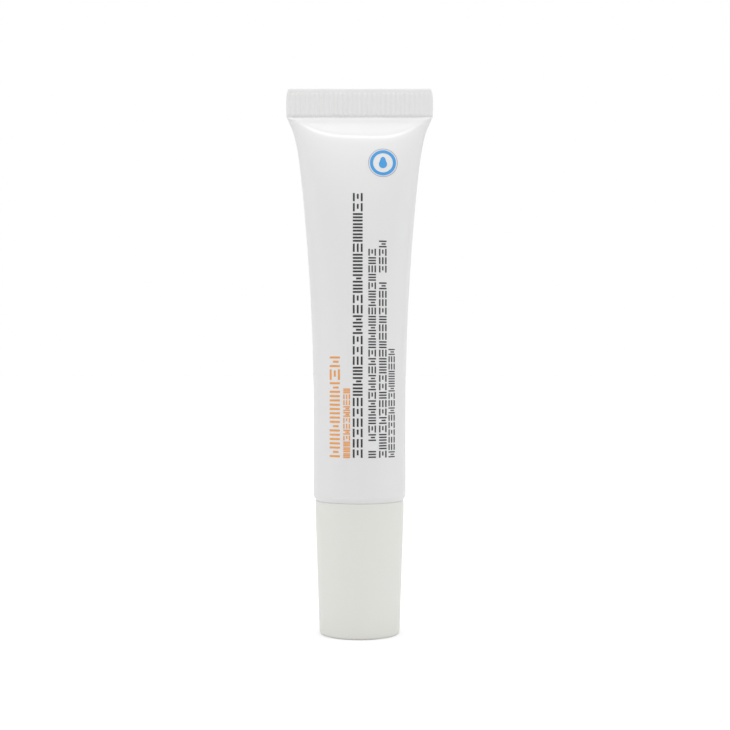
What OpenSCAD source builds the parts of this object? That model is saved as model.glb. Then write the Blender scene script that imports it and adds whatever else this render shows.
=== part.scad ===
// Squeeze tube for ointment, standing on its screw cap.
// Millimetres, +Z up, origin at the middle of the cap's closed end.
// The seal runs along X, and the front of the tube faces -Y.

/* [Sleeve] */
// Outer diameter of the sleeve's round end
tube_d = 19.3; // [16:0.5:40]
// Wall thickness of the sleeve
sleeve_wall = 0.45; // [0.3:0.05:0.8]
// Length of the sleeve, from its foot to its cut edge
sleeve_l = 86.2; // [70:0.1:160]
// Length above the foot that stays round
round_l = 17.9; // [5:0.1:30]
// Height of the bevel at the foot
bevel_h = 1.5; // [0.5:0.1:3]
// Depth of the bevel at the foot, measured on the radius
bevel_in = 0.5; // [0.1:0.01:1]

/* [Seal] */
// Height of the crimped band
seal_h = 6.3; // [3:0.1:12]
// Thickness of the crimped band, between the grooves
seal_t = 1; // [0.7:0.05:2]
// Distance from one crimp ridge to the next
ridge_pitch = 1; // [0.5:0.1:3]
// Height of a crimp ridge
ridge_h = 0.12; // [0.05:0.01:0.3]
// How far the pressed ends of the band swell past the flat sleeve
seal_swell = 0.65; // [0:0.05:1.2]
// Height of the flare between the sleeve and the band
flare_h = 0.6; // [0.2:0.1:1.5]
// Slope of the flat facet below the band: depth gained for each millimetre down
facet_slope = 0.77; // [0.5:0.01:1.2]
// Half thickness that the pillow shape reaches below the band
crown_half = 1.3; // [0.9:0.1:6]
// Softness of the fold between facet and pillow
fold_blend = 0.5; // [0.1:0.1:1.5]

/* [Head] */
// Thickness of the shoulder
shoulder_t = 1.1; // [0.6:0.1:2]
// Fall of the shoulder from its rim to the neck
shoulder_fall = 1.6; // [0.5:0.1:3]
// Height of the rim that is welded into the sleeve
rim_h = 3; // [2.5:0.1:6]
// Thickness of that rim
rim_t = 0.7; // [0.4:0.1:1.5]
// Play between the rim and the sleeve
weld_play = 0.03; // [0.02:0.01:0.1]
// Outer diameter of the neck under its thread
neck_d = 10.2; // [8:0.1:11]
// Wall thickness of the neck
neck_wall = 1.1; // [0.8:0.1:1.5]
// Length of the neck below the shoulder
neck_l = 8.5; // [6:0.1:12]
// Chamfer at the end of the neck
neck_chamfer = 0.5; // [0.2:0.1:1]
// Length of the nozzle
nozzle_l = 14.8; // [8:0.1:15]
// Diameter of the nozzle where it leaves the neck
nozzle_d = 6.8; // [5.5:0.1:8]
// Diameter of the nozzle at its tip
tip_d = 3.6; // [3.2:0.1:5]
// Diameter of the outlet
outlet_d = 2; // [1.6:0.1:2.4]
// Wall thickness of the nozzle at its root
nozzle_wall = 0.9; // [0.6:0.1:1.2]
// Length of the straight outlet behind the tip
outlet_l = 2; // [1:0.1:4]
// Rounding of the nozzle's tip
tip_round = 0.3; // [0.1:0.05:0.5]

/* [Cap] */
// Height of the cap
cap_h = 27.9; // [27.5:0.1:40]
// Gap between the cap's mouth and the sleeve's foot
seam_gap = 0.2; // [0.15:0.05:0.6]
// How far the cap's mouth stands out past the sleeve's foot
cap_proud = 0.03; // [0:0.01:0.3]
// Taper of the cap from mouth to end, measured on the radius
cap_taper = 0.86; // [0:0.05:1.2]
// Thickness of the cap's outer wall
cap_wall = 1; // [0.7:0.1:1.3]
// Thickness of the cap's end
end_t = 1.2; // [0.8:0.1:1.8]
// Rounding of the cap's end edge
end_round = 1.1; // [0.3:0.1:1.2]
// Rounding of the cap's mouth edge
mouth_round = 0.2; // [0.05:0.05:0.4]
// Room between the neck and the threaded collar, where the threads mesh
thread_room = 0.5; // [0.3:0.05:0.7]
// Wall thickness of the threaded collar
collar_wall = 1; // [0.7:0.1:1.2]
// Gap between the collar's mouth and the shoulder
collar_gap = 0.4; // [0.3:0.1:1]
// Reach of the sealing pin into the outlet
pin_reach = 1.3; // [0.5:0.1:3]
// Play of the sealing pin in the outlet, measured on the radius
pin_play = 0.2; // [0.1:0.05:0.3]
// Length of the pin's conical point
pin_point = 0.5; // [0.2:0.1:1]

/* [Ointment] */
// Play between the ointment and what holds it
fill_play = 0.1; // [0.05:0.05:0.5]

/* [Smoothness] */
// Points around the sleeve
around = 60; // [32:4:80]
// Rings between the round part and the seal
rings = 18; // [10:1:24]
// Facets on a full turn of the cap and the head
turn_facets = 96; // [48:12:144]
// Points on a rounded edge
edge_steps = 6; // [3:1:10]

/* [Hidden] */

sleeve_white = [0.87, 0.87, 0.87];
head_white = [0.90, 0.90, 0.89];
cap_white = [0.86, 0.86, 0.84];
ointment_cream = [0.93, 0.90, 0.80];

// Radii of the sleeve and its welded foot
tube_r = tube_d / 2;
foot_r = tube_r - bevel_in;
flat_half = PI * (tube_d - sleeve_wall) / 4;

// Heights along the tube, from the floor up
foot_z = cap_h + seam_gap;
bevel_z = foot_z + bevel_h;
round_z = foot_z + round_l;
top_z = foot_z + sleeve_l;
band_z = top_z - seal_h;
flare_z = band_z - flare_h;
neck_top_z = foot_z - shoulder_fall;
neck_end_z = neck_top_z - neck_l;
tip_z = neck_end_z - nozzle_l;

// Radii of the head
rim_r = tube_r - sleeve_wall - weld_play;
rim_foot_r = foot_r - sleeve_wall - weld_play;
neck_r = neck_d / 2;
neck_bore_r = neck_r - neck_wall;
tip_r = tip_d / 2;
outlet_r = outlet_d / 2;

// Radii of the cap
mouth_r = foot_r + cap_proud;
end_r = mouth_r - cap_taper;
collar_bore_r = neck_r + thread_room;
collar_r = collar_bore_r + collar_wall;
collar_top_z = neck_top_z - collar_gap;
// The head's underside stays level over the cap's wall, and slopes inside it
slope_r = mouth_r - cap_wall - seam_gap;
pin_r = outlet_r - pin_play;
pin_top_z = tip_z + pin_reach;

// Wall thickness measured level, through the sloping facet
facet_wall = sleeve_wall * sqrt(1 + facet_slope * facet_slope);

// How flat the sleeve is pressed at a height: 0 where it is round, 1 below the band
function flatness(z) = max(0, min(1, (z - round_z) / (flare_z - round_z)));

// Half width of the sleeve at a height
function half_width(z) =
    z <= bevel_z ? tube_r - bevel_in * (bevel_z - z) / bevel_h :
    let (u = flatness(z), spread = 0.755 * pow(u, 1.96) + 0.245 * pow(u, 18))
    tube_r + (flat_half + seal_swell / 4 - tube_r) * spread
    + seal_swell / 4 * max(0, (z - flare_z) / flare_h);

// Half thickness of the pillow shape at a height, before the facets cut it
function half_depth(z) =
    z <= bevel_z ? half_width(z) :
    let (u = flatness(z))
    tube_r - (tube_r - crown_half) * (0.61 * pow(u, 1.6) + 0.39 * pow(u, 12)) - facet_slope * max(0, z - flare_z);

// The lower of two depths, with a soft fold of width k between them
function soft_min(a, b, k) =
    let (h = max(k - abs(a - b), 0) / k)
    min(a, b) - h * h * k / 4;

// Depth of the sleeve's front at an angle round it, for a skin that lies `inset` inside
function skin_depth(z, angle, inset, facet_inset) =
    soft_min((half_depth(z) - inset) * sin(angle),
             seal_t / 2 + facet_slope * (band_z - z) - facet_inset,
             fold_blend * sin(angle) + 0.001);

// One ring of points round the sleeve
function skin_ring(z, inset, facet_inset) = [
    for (i = [0 : around - 1])
        let (angle = 360 * i / around, side = angle < 180 ? 1 : -1)
        [(half_width(z) - inset) * cos(angle),
         side * skin_depth(z, angle < 180 ? angle : angle - 180, inset, facet_inset),
         z]
];

// A round ring of points
function round_ring(z, r) = [
    for (i = [0 : around - 1]) [r * cos(360 * i / around), r * sin(360 * i / around), z]
];

// Heights of the rings between the round part and a top, closer together near the top
function ring_heights(top) = [
    for (i = [0 : rings]) round_z + (top - round_z) * (1 - pow(1 - i / rings, 1.6))
];

// Side faces between a stack of rings, the first ring `start` points into the list
function stack_faces(count, start) = [
    for (k = [0 : count - 2], i = [0 : around - 1])
        let (a = start + k * around + i, b = start + k * around + (i + 1) % around)
        each [[a, b, b + around], [a, b + around, a + around]]
];

// The same faces seen from inside
function turned(faces) = [for (f = faces) [f[0], f[2], f[1]]];

// A fan that closes a ring round a middle point
function fan(start, middle) = [for (i = [0 : around - 1]) [start + i, start + (i + 1) % around, middle]];

// Points of a quarter round from one angle to another
function arc(cx, cz, r, from, to) = [
    for (i = [0 : edge_steps])
        let (a = from + (to - from) * i / edge_steps)
        [cx + r * cos(a), cz + r * sin(a)]
];

// Half width of the crimped band at a share of its height
function band_half(t) = flat_half + seal_swell * cos(90 * (t - 0.35) / 0.65);

// Extruded sleeve: round at its foot, pressed flat at its top, hollow up to the seal
module sleeve_shell() {
    cavity_z = band_z - (facet_wall - seal_t / 2) / facet_slope - fill_play - flare_h;
    outer = [
        round_ring(foot_z, foot_r),
        round_ring(bevel_z, tube_r),
        for (z = ring_heights(flare_z)) skin_ring(z, 0, 0),
        skin_ring(band_z, 0, 0)
    ];
    inner = [
        round_ring(foot_z, foot_r - sleeve_wall),
        round_ring(bevel_z, tube_r - sleeve_wall),
        for (z = ring_heights(cavity_z)) skin_ring(z, sleeve_wall, facet_wall)
    ];
    outer_n = len(outer);
    inner_n = len(inner);
    inner_start = outer_n * around;
    outer_top = inner_start - around;
    inner_top = inner_start + (inner_n - 1) * around;
    roof = inner_start + inner_n * around;
    points = [
        for (ring = outer) each ring,
        for (ring = inner) each ring,
        [0, 0, band_z],
        [0, 0, cavity_z]
    ];
    foot = [
        for (i = [0 : around - 1])
            let (j = (i + 1) % around)
            each [[i, inner_start + i, inner_start + j], [i, inner_start + j, j]]
    ];
    polyhedron(points, turned([
        each stack_faces(outer_n, 0),
        each turned(stack_faces(inner_n, inner_start)),
        each fan(outer_top, roof),
        each turned(fan(inner_top, roof + 1)),
        each foot
    ]));
}

// Upright ridges of the crimped band, seen from above
module ridged_section() {
    half = ceil((flat_half + seal_swell) / ridge_pitch) * ridge_pitch;
    steps = round(4 * half / ridge_pitch);
    front = [
        for (i = [0 : steps])
            [-half + i * ridge_pitch / 2, seal_t / 2 + (i % 2 == 0 ? 0 : ridge_h)]
    ];
    back = [for (i = [steps : -1 : 0]) [front[i][0], -front[i][1]]];
    polygon([each front, each back]);
}

// Outline of the crimped band, seen from the front, with its swollen ends
module band_outline() {
    levels = 12;
    right = [for (i = [0 : levels]) [band_half(i / levels), band_z + seal_h * i / levels]];
    left = [for (i = [levels : -1 : 0]) [-right[i][0], right[i][1]]];
    polygon([[-band_half(0), band_z - seal_t / 4], [band_half(0), band_z - seal_t / 4], each right, each left]);
}

module crimped_band() {
    intersection() {
        translate([0, 0, band_z - seal_t])
            linear_extrude(seal_h + 2 * seal_t) ridged_section();
        rotate([90, 0, 0])
            linear_extrude(4 * seal_t, center = true) band_outline();
    }
}

module tube_sleeve() {
    color(sleeve_white) union() {
        sleeve_shell();
        crimped_band();
    }
}

// Moulded head, welded into the sleeve's foot: rim, shoulder, neck and nozzle
module tube_head() {
    color(head_white)
        rotate_extrude($fn = turn_facets)
            polygon([
                [rim_foot_r, foot_z],
                [rim_r, bevel_z],
                [rim_r, foot_z + rim_h],
                [rim_r - rim_t, foot_z + rim_h],
                [rim_r - rim_t, foot_z + shoulder_t],
                [neck_bore_r, neck_top_z + shoulder_t],
                [neck_bore_r, neck_end_z + neck_wall],
                [nozzle_d / 2 - nozzle_wall, neck_end_z],
                [outlet_r, tip_z + outlet_l],
                [outlet_r, tip_z],
                each arc(tip_r - tip_round, tip_z + tip_round, tip_round, -90, 0),
                [nozzle_d / 2, neck_end_z],
                [neck_r - neck_chamfer, neck_end_z],
                [neck_r, neck_end_z + neck_chamfer],
                [neck_r, neck_top_z],
                [slope_r, foot_z]
            ]);
}

// Ointment: one closed shape that follows the inside of the sleeve and the neck
module ointment() {
    top = band_z - (facet_wall - seal_t / 2) / facet_slope - fill_play - flare_h - 4 * fill_play;
    inset = sleeve_wall + fill_play;
    facet_inset = facet_wall + fill_play * sqrt(1 + facet_slope * facet_slope);
    levels = [
        round_ring(neck_end_z + neck_wall + fill_play, neck_bore_r - fill_play),
        round_ring(neck_top_z + shoulder_t + fill_play, neck_bore_r - fill_play),
        round_ring(foot_z + shoulder_t + 2 * fill_play, rim_r - rim_t - fill_play),
        round_ring(foot_z + rim_h + fill_play, rim_r - rim_t - fill_play),
        round_ring(foot_z + rim_h + 2 * fill_play, tube_r - inset),
        for (z = ring_heights(top)) skin_ring(z, inset, facet_inset)
    ];
    count = len(levels);
    points = [
        for (ring = levels) each ring,
        [0, 0, neck_end_z + neck_wall + fill_play],
        [0, 0, top]
    ];
    color(ointment_cream)
        polyhedron(points, turned([
            each stack_faces(count, 0),
            each turned(fan(0, count * around)),
            each fan((count - 1) * around, count * around + 1)
        ]));
}

// Moulded screw cap: tapered wall, closed end, threaded collar and sealing pin
module screw_cap() {
    color(cap_white)
        rotate_extrude($fn = turn_facets)
            polygon([
                [0, 0],
                each arc(end_r - end_round, end_round, end_round, -90, 0),
                each arc(mouth_r - mouth_round, cap_h - mouth_round, mouth_round, 0, 90),
                [mouth_r - cap_wall, cap_h],
                [end_r - cap_wall, end_t],
                [collar_r, end_t],
                [collar_r, collar_top_z],
                [collar_bore_r, collar_top_z],
                [collar_bore_r, end_t],
                [pin_r, end_t],
                [pin_r, pin_top_z - pin_point],
                [pin_r / 3, pin_top_z],
                [0, pin_top_z]
            ]);
}

tube_sleeve();
tube_head();
ointment();
screw_cap();
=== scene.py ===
"""Dressed model of a slim ointment tube that stands on its screw cap.

The packed solids give every place and size. This script adds the looks: a finely shaped
sleeve with its fold and crimped seal, the turned cap and head, the threads between them,
a generic print, procedural finishes, a plain studio and the camera.

Sizes are in millimetres until a mesh is made, and Blender's own units are metres.
"""

from __future__ import annotations

import logging
import math
from collections.abc import Callable, Sequence
from dataclasses import dataclass, fields
from enum import Enum
from types import SimpleNamespace

import bmesh
import bpy
from bpy.types import NodeSocket as Socket
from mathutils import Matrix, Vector

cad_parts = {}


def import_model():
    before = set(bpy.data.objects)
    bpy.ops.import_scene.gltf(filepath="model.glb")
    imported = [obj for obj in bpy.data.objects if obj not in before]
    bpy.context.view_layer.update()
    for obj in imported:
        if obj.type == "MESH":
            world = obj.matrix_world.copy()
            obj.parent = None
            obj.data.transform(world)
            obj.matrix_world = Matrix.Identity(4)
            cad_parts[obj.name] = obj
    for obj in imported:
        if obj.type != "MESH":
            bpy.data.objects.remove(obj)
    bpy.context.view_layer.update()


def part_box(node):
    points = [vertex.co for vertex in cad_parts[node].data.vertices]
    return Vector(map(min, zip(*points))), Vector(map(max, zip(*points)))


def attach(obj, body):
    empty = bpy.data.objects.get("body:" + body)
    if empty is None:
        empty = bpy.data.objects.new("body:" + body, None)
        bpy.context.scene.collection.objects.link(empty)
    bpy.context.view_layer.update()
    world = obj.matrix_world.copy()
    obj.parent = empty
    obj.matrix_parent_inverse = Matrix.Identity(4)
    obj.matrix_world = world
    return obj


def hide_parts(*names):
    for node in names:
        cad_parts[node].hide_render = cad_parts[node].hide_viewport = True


LOG = logging.getLogger("ointment_tube")

MM = 0.001
MERGE_MM = 0.01
ON_AXIS_MM = 1e-6
CREASE_DEG = 35.0
TURN = 2 * math.pi
WHITE = (1.0, 1.0, 1.0, 1.0)

Number = "Field | float"
Triple = tuple[float, float, float]
Noise = tuple[Triple, float]


class Body(Enum):
    """The rigid bodies that pieces ride on."""

    CAP = "cap"
    TUBE = "tube"


def maths(operation: str, meaning: str, swapped: bool = False) -> Callable[..., Field]:
    """Makes a method of Field that adds one Math node.

    Args:
        operation: The node's operation, such as "ADD".
        meaning: What the method gives, as its docstring.
        swapped: True where the field comes after the other number.

    Returns:
        The method.
    """
    def method(field: Field, *others: Number) -> Field:
        """Adds the node and links or sets its inputs."""
        node = field.tree.nodes.new("ShaderNodeMath")
        node.operation = operation
        operands = (*others, field) if swapped else (field, *others)
        for slot, operand in zip(node.inputs, operands):
            if isinstance(operand, Field):
                field.tree.links.new(operand.socket, slot)
            else:
                slot.default_value = operand
        return Field(field.tree, node.outputs[0])

    method.__doc__ = meaning
    return method


@dataclass(frozen=True)
class Field:
    """A number inside a node tree, with the usual arithmetic."""

    tree: bpy.types.NodeTree
    socket: Socket

    __add__ = __radd__ = maths("ADD", "Sum.")
    __sub__ = maths("SUBTRACT", "Difference.")
    __rsub__ = maths("SUBTRACT", "Difference from a plain number.", swapped=True)
    __mul__ = __rmul__ = maths("MULTIPLY", "Product.")
    __truediv__ = maths("DIVIDE", "Quotient.")
    __rtruediv__ = maths("DIVIDE", "Quotient of a plain number.", swapped=True)
    __pow__ = maths("POWER", "Power.")
    sine = maths("SINE", "Sine of an angle in radians.")
    cosine = maths("COSINE", "Cosine of an angle in radians.")
    size = maths("ABSOLUTE", "The number without its sign.")
    exponential = maths("EXPONENT", "e to the power of the number.")
    at_least = maths("MAXIMUM", "The larger of two numbers.")
    at_most = maths("MINIMUM", "The smaller of two numbers.")
    above = maths("GREATER_THAN", "1 where the number is above the other, else 0.")

    def __neg__(self) -> Field:
        """The number with its sign changed."""
        return self * -1.0

    def share(self, low: Number, high: Number) -> Field:
        """0 at low, 1 at high, straight between them and level outside."""
        return ((self - low) / (high - low)).at_least(0.0).at_most(1.0)

    def step(self, low: Number, high: Number) -> Field:
        """0 below low and 1 above high, with a smooth rise between them."""
        t = self.share(low, high)
        return t * t * (3.0 - 2.0 * t)

    def bell(self, width: Number) -> Field:
        """1 at zero, falling smoothly to nothing within about two widths."""
        t = self / width
        return (-(t * t)).exponential()


def blend(first: Number, second: Number, share: Field) -> Field:
    """Goes from the first number to the second as share goes from 0 to 1."""
    return share * (second - first) + first


def added(name: str, data: bpy.types.ID) -> bpy.types.Object:
    """Adds an object with its data to the scene."""
    thing = bpy.data.objects.new(name, data)
    bpy.context.scene.collection.objects.link(thing)
    return thing


class ShapeTree:
    """A Geometry Nodes tree that is built, run once and turned into a plain mesh."""

    def __init__(self, name: str) -> None:
        """Makes the tree with its output.

        Args:
            name: The tree's name.
        """
        self.group = bpy.data.node_groups.new(name, "GeometryNodeTree")
        self.group.interface.new_socket("Geometry", in_out="OUTPUT", socket_type="NodeSocketGeometry")
        self.entry = self.group.nodes.new("NodeGroupInput")
        self.exit = self.group.nodes.new("NodeGroupOutput")
        self.values: dict[str, float] = {}

    def number(self, name: str, value: float) -> Field:
        """Adds a named input.

        Args:
            name: The input's name.
            value: Its value for this object.

        Returns:
            The input, as a field.
        """
        socket = self.group.interface.new_socket(name, in_out="INPUT", socket_type="NodeSocketFloat")
        self.values[socket.identifier] = float(value)
        return Field(self.group, self.entry.outputs[socket.identifier])

    def sizes(self, source: object) -> SimpleNamespace:
        """Adds one named input for each number of a dataclass.

        Args:
            source: The dataclass.

        Returns:
            The inputs, under the same names.
        """
        made = {}
        for item in fields(source):
            label = item.name.replace("_", " ").capitalize()
            made[item.name] = self.number(label, getattr(source, item.name))
        return SimpleNamespace(**made)

    def node(
        self,
        kind: str,
        inputs: dict[str | int, object] | None = None,
        **settings: object,
    ) -> bpy.types.Node:
        """Adds a node.

        Args:
            kind: The node's type.
            inputs: Sockets, fields or plain values for its inputs, by name or number.
            settings: Its other settings.

        Returns:
            The node.
        """
        node = self.group.nodes.new(kind)
        for key, value in settings.items():
            setattr(node, key, value)
        for key, value in (inputs or {}).items():
            slot = node.inputs[key]
            if isinstance(value, Field):
                self.group.links.new(value.socket, slot)
            elif isinstance(value, Socket):
                self.group.links.new(value, slot)
            else:
                slot.default_value = value
        return node

    def position(self) -> tuple[Field, ...]:
        """Gives each point's place along X, Y and Z."""
        place = self.node("GeometryNodeInputPosition").outputs[0]
        split = self.node("ShaderNodeSeparateXYZ", {"Vector": place})
        return tuple(Field(self.group, split.outputs[axis]) for axis in "XYZ")

    def grid(self, columns: int, rows: int) -> tuple[Socket, Field, Field]:
        """Adds a square grid to be bent into shape.

        Args:
            columns: Faces along the first direction.
            rows: Faces along the second.

        Returns:
            The grid, and how far each point lies along it both ways, from 0 to 1.
        """
        grid = self.node(
            "GeometryNodeMeshGrid",
            {"Size X": 1.0, "Size Y": 1.0, "Vertices X": columns + 1, "Vertices Y": rows + 1},
        )
        x, y, _ = self.position()
        return grid.outputs["Mesh"], x + 0.5, y + 0.5

    def placed(self, shape: Socket, x: Field, y: Field, z: Field) -> Socket:
        """Moves each point to a place given in millimetres.

        Args:
            shape: The geometry.
            x: Place along X.
            y: Place along Y.
            z: Place along Z.

        Returns:
            The moved geometry.
        """
        place = self.node("ShaderNodeCombineXYZ", {"X": x * MM, "Y": y * MM, "Z": z * MM})
        moved = self.node("GeometryNodeSetPosition", {"Geometry": shape, "Position": place.outputs[0]})
        return moved.outputs[0]

    def flipped(self, shape: Socket) -> Socket:
        """Turns the faces of a shape over."""
        return self.node("GeometryNodeFlipFaces", {"Mesh": shape}).outputs[0]

    def welded(self, shape: Socket) -> Socket:
        """Joins points that lie on each other, which closes seams and poles."""
        merge = self.node("GeometryNodeMergeByDistance", {"Geometry": shape, "Distance": MERGE_MM * MM})
        return merge.outputs[0]

    def finish(self, name: str, shape: Socket, material: bpy.types.Material) -> bpy.types.Object:
        """Ends the tree, runs it and keeps the result as a plain mesh.

        Args:
            name: The piece's name.
            shape: The geometry that the tree makes.
            material: The piece's finish.

        Returns:
            The piece, with no modifier.
        """
        real = self.node("GeometryNodeRealizeInstances", {"Geometry": shape})
        smooth = self.node("GeometryNodeSetShadeSmooth", {"Geometry": real.outputs[0]}, domain="FACE")
        angle = Field(self.group, self.node("GeometryNodeInputMeshEdgeAngle").outputs["Unsigned Angle"])
        crease = {
            "Geometry": smooth.outputs[0],
            "Selection": angle.above(math.radians(CREASE_DEG)),
            "Shade Smooth": False,
        }
        sharp = self.node("GeometryNodeSetShadeSmooth", crease, domain="EDGE")
        dress = {"Geometry": sharp.outputs[0], "Material": material}
        dressed = self.node("GeometryNodeSetMaterial", dress)
        self.group.links.new(dressed.outputs[0], self.exit.inputs[0])

        carrier = added(name + "_carrier", bpy.data.meshes.new(name + "_carrier"))
        modifier = carrier.modifiers.new("shape", "NODES")
        modifier.node_group = self.group
        for identifier, value in self.values.items():
            modifier[identifier] = value
        depsgraph = bpy.context.evaluated_depsgraph_get()
        mesh = bpy.data.meshes.new_from_object(carrier.evaluated_get(depsgraph), depsgraph=depsgraph)
        mesh.name = name
        bpy.data.objects.remove(carrier)
        bpy.data.node_groups.remove(self.group)
        return added(name, mesh)


class FinishTree:
    """The nodes of one material, built on a Principled shader."""

    def __init__(self, name: str) -> None:
        """Makes the material with its shader.

        Args:
            name: The material's name.
        """
        self.material = bpy.data.materials.new(name)
        self.material.use_nodes = True
        self.tree = self.material.node_tree
        self.shader = self.tree.nodes["Principled BSDF"]
        self.place = self.tree.nodes.new("ShaderNodeTexCoord").outputs["Object"]

    def noise(self, stretch: Sequence[float], detail: float = 2.0) -> Socket:
        """Adds a noise pattern on Object coordinates.

        Args:
            stretch: Its scale along each axis, in cells a metre.
            detail: Its octaves.

        Returns:
            The pattern, about 0 to 1.
        """
        mapping = self.tree.nodes.new("ShaderNodeMapping")
        mapping.inputs["Scale"].default_value = stretch
        self.tree.links.new(self.place, mapping.inputs["Vector"])
        noise = self.tree.nodes.new("ShaderNodeTexNoise")
        noise.inputs["Scale"].default_value = 1.0
        noise.inputs["Detail"].default_value = detail
        self.tree.links.new(mapping.outputs[0], noise.inputs["Vector"])
        return noise.outputs["Fac"]

    def spread(self, pattern: Socket, low: float, high: float) -> Socket:
        """Spreads a pattern's middle part over a range of values.

        Args:
            pattern: The pattern.
            low: The value where it is lowest.
            high: The value where it is highest.

        Returns:
            The spread values.
        """
        node = self.tree.nodes.new("ShaderNodeMapRange")
        for key, value in {"From Min": 0.3, "From Max": 0.7, "To Min": low, "To Max": high}.items():
            node.inputs[key].default_value = value
        self.tree.links.new(pattern, node.inputs["Value"])
        return node.outputs[0]

    def rise(self, axis: str, low_mm: float, high_mm: float) -> Socket:
        """Gives 0 below one place along an axis and 1 above another.

        Args:
            axis: "X", "Y" or "Z".
            low_mm: Where the rise starts.
            high_mm: Where it ends.

        Returns:
            The rise.
        """
        split = self.tree.nodes.new("ShaderNodeSeparateXYZ")
        self.tree.links.new(self.place, split.inputs[0])
        return Field(self.tree, split.outputs[axis]).share(low_mm * MM, high_mm * MM).socket

    def blend_colours(
        self,
        share: Socket,
        first: Sequence[float] | Socket,
        second: Sequence[float] | Socket,
    ) -> Socket:
        """Goes from one colour to another.

        Args:
            share: Share of the second colour.
            first: The first colour, plain or from a node.
            second: The second colour, plain or from a node.

        Returns:
            The blend.
        """
        mix = self.tree.nodes.new("ShaderNodeMix")
        mix.data_type = "RGBA"
        self.tree.links.new(share, mix.inputs["Factor"])
        colour_slots = [slot for slot in mix.inputs if slot.type == "RGBA"]
        for slot, colour in zip(colour_slots, (first, second)):
            if isinstance(colour, Socket):
                self.tree.links.new(colour, slot)
            else:
                slot.default_value = (*colour, 1.0)
        return next(slot for slot in mix.outputs if slot.type == "RGBA")

    def drive(self, name: str, source: Socket) -> None:
        """Links a source to one of the shader's inputs."""
        self.tree.links.new(source, self.shader.inputs[name])

    def bump(self, layers: Sequence[tuple[Socket, float]]) -> None:
        """Adds fine relief.

        Args:
            layers: Each a pattern and its height in millimetres.
        """
        below: Socket | None = None
        for pattern, height in layers:
            node = self.tree.nodes.new("ShaderNodeBump")
            node.inputs["Strength"].default_value = 1.0
            node.inputs["Distance"].default_value = height * MM
            self.tree.links.new(pattern, node.inputs["Height"])
            if below is not None:
                self.tree.links.new(below, node.inputs["Normal"])
            below = node.outputs[0]
        self.drive("Normal", below)


def linear(red: float, green: float, blue: float) -> Triple:
    """Turns a colour as seen on a screen, 0 to 255, into Blender's linear values.

    Args:
        red: Red share.
        green: Green share.
        blue: Blue share.

    Returns:
        The three linear values.
    """
    def channel(value: float) -> float:
        """One linear value."""
        v = value / 255
        return v / 12.92 if v <= 0.04045 else ((v + 0.055) / 1.055) ** 2.4

    return channel(red), channel(green), channel(blue)


def even(cells: float, detail: float = 2.0) -> Noise:
    """Gives a noise pattern that is alike along all three axes."""
    return (cells, cells, cells), detail


PEEL = even(2600.0)
DRAW_LINES: Noise = ((1500.0, 1500.0, 24.0), 2.0)


@dataclass(frozen=True)
class Finish:
    """A surface with faint clouds in its colour, uneven roughness and fine relief.

    Attributes:
        name: The material's name.
        colour: Its colour as seen on a screen, 0 to 255.
        roughness: The smoothest and the roughest value.
        relief: Patterns of the relief, each with its height in millimetres.
        low_share: Share of the colour where the clouds are lowest.
        high_share: Share of the colour where they are highest.
        high_lift: Linear value that is added there.
        clouds: Pattern of the colour.
        grain: Pattern of the roughness.
        glow: Share of the light that travels under the surface.
        glow_reach: How far each of its colours travels, as a share of glow_mm.
        glow_mm: The furthest that it travels.
        pressed: Colour of a part that was pressed, and the height above which it starts.
    """

    name: str
    colour: Triple
    roughness: tuple[float, float]
    relief: tuple[tuple[Noise, float], ...]
    low_share: float = 1.0
    high_share: float = 1.0
    high_lift: float = 0.0
    clouds: Noise = ((60.0, 60.0, 35.0), 3.0)
    grain: Noise = ((400.0, 400.0, 160.0), 2.0)
    glow: float = 0.0
    glow_reach: Triple = (1.0, 0.9, 0.8)
    glow_mm: float = 0.8
    pressed: tuple[Triple, float] | None = None

    def make(self) -> bpy.types.Material:
        """Builds the material.

        Returns:
            The material.
        """
        tree = FinishTree(self.name)
        plain = linear(*self.colour)
        low = tuple(value * self.low_share for value in plain)
        high = tuple(value * self.high_share + self.high_lift for value in plain)
        colour = tree.blend_colours(tree.spread(tree.noise(*self.clouds), 0.0, 1.0), low, high)
        # Painted light: from start_z up the colour turns lighter, standing in for the light that the
        # thin crimped seal lets through.
        if self.pressed is not None:
            seal_light_colour, start_z = self.pressed
            rise = tree.rise("Z", start_z, start_z + 0.4)
            colour = tree.blend_colours(rise, colour, linear(*seal_light_colour))
        tree.drive("Base Color", colour)
        tree.drive("Roughness", tree.spread(tree.noise(*self.grain), *self.roughness))
        tree.bump([(tree.noise(*pattern), height) for pattern, height in self.relief])
        if self.glow:
            glow = {"Weight": self.glow, "Radius": self.glow_reach, "Scale": self.glow_mm * MM}
            for key, value in glow.items():
                tree.shader.inputs["Subsurface " + key].default_value = value
        return tree.material


def ink(name: str, colour: Triple) -> Finish:
    """Gives a thin film of printing ink.

    Args:
        name: The material's name.
        colour: Its colour as seen on a screen, 0 to 255.

    Returns:
        The finish.
    """
    return Finish(
        name, colour, (0.34, 0.46), ((even(6000.0), 0.002),),
        high_share=0.9, high_lift=0.012, clouds=even(900.0, 3.0), grain=even(1200.0),
    )


# The seal band is coloured lighter from 108.2 mm up: painted light, standing in for the light that the
# thin seal lets through.
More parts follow.
